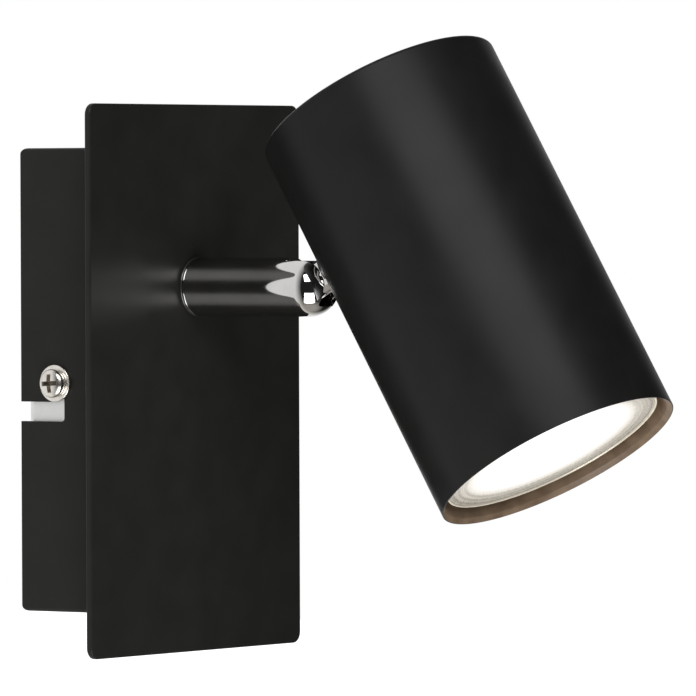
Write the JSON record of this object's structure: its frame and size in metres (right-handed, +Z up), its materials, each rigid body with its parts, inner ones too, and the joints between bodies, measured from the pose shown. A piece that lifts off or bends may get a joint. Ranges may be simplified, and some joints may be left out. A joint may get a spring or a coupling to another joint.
{
  "type": "pivoting spotlight wall light",
  "caption": "Wall light: tubular spotlight head on a knuckle and a swivelling chrome arm, fixed to a flat plate on a shallow box canopy that hangs on a wall bracket.",
  "frame": {"origin": "midway between the two wall screws, on the wall", "axes": "+Y into the wall, -Y into the room, +Z up, +X to the right for a viewer who faces the wall"},
  "size_m": [0.08, 0.1445, 0.1352],
  "materials": {
    "black_paint": "satin black powder coat",
    "chrome": "polished",
    "zinc_steel": "bright zinc plate",
    "nickel_screw": "nickel plate",
    "brass": "machined",
    "dark_washer": "matt",
    "fibre": "matt fibre",
    "white_nylon": "natural nylon",
    "ceramic": "unglazed steatite",
    "lamp_white": "moulded",
    "lens_glow": "frosted, lit from behind",
    "lead_brown": "silicone",
    "lead_earth": "green lead with a yellow stripe"
  },
  "bodies": {
    "canopy": {"front_plate": "black_paint", "canopy_box": "black_paint", "side_screws": "nickel_screw", "side_washers": "nickel_screw", "wall_bracket": "zinc_steel", "terminal_block": "white_nylon", "terminal_clamps": "brass", "terminal_screws": "zinc_steel", "block_screws": "zinc_steel", "earth_stud": "zinc_steel", "earth_tag": "brass", "earth_washer": "zinc_steel", "earth_nut": "brass", "earth_lead": "lead_earth", "supply_leads": "lead_brown"},
    "arm": {"arm_spacer": "dark_washer", "swivel_nipple": "zinc_steel", "stop_washer": "zinc_steel", "spring_washer": "zinc_steel", "lock_nut": "zinc_steel", "swivel_arm": "chrome", "pivot_screw": "chrome", "pivot_washers": "fibre", "arm_leads": "lead_brown"},
    "head": {"head_tongue": "chrome", "tongue_nut": "zinc_steel", "spotlight_tube": "black_paint", "holder_bracket": "zinc_steel", "holder_screws": "zinc_steel", "lampholder": "ceramic", "holder_contacts": "brass", "head_leads": "lead_brown"},
    "lamp": {"lamp_body": "lamp_white", "lamp_base": "lamp_white", "lamp_pins": "brass", "lamp_lens": "lens_glow", "lamp_bezel": "chrome"}
  },
  "joints": [
    {"name": "arm_swivel", "type": "hinge", "parent": "canopy", "child": "arm", "pos_m": [0, -0.0259, 0.0202], "axis": [0, 1, 0], "range_deg": [-160, 160]},
    {"name": "head_tilt", "type": "hinge", "parent": "arm", "child": "head", "pos_m": [0, -0.0562, 0.0202], "axis": [1, 0, 0], "range_deg": [-59.3, 30.7]},
    {"name": "lamp_twist", "type": "hinge", "parent": "head", "child": "lamp", "pos_m": [0, -0.08767, 0.03889], "axis": [0, 0.5105, 0.8599], "range_deg": [-30, 0]}
  ]
}
